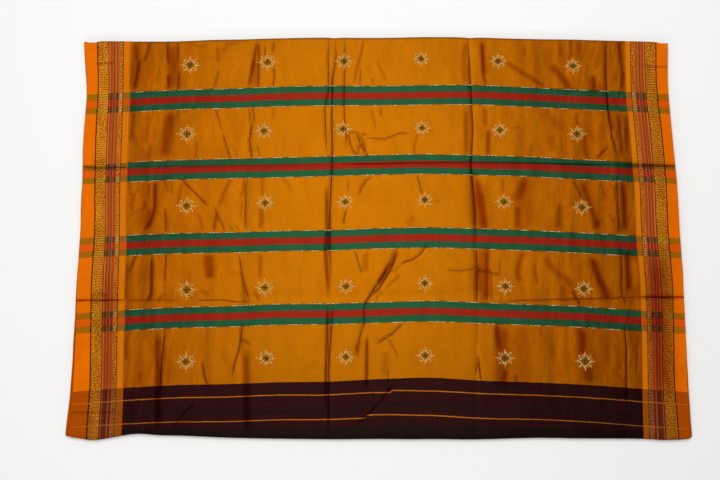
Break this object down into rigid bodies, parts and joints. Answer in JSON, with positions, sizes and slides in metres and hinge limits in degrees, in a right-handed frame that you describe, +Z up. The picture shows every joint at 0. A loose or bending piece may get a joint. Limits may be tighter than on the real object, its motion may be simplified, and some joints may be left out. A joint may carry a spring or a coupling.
{
  "type": "folded sari",
  "caption": "Silk sari folded to a flat layered rectangle, ochre body with striped selvedge borders and a dark end over the near fold.",
  "frame": {"origin": "on the surface the cloth rests on, under the middle of the folded cloth", "axes": "+X across the cloth towards its right selvedge, +Y along the shown stretch towards the far fold, +Z up"},
  "size_m": [1.1966, 0.791, 0.0126],
  "materials": {
    "ochre_silk": "lustrous plain weave with a soft sheen",
    "aubergine_silk": "lustrous plain weave, dark",
    "selvedge_silk": "plain weave selvedges"
  },
  "bodies": {
    "root": {"ochre_stretch": "ochre_silk", "aubergine_stretch": "aubergine_silk", "hidden_layers": "selvedge_silk"}
  },
  "joints": []
}
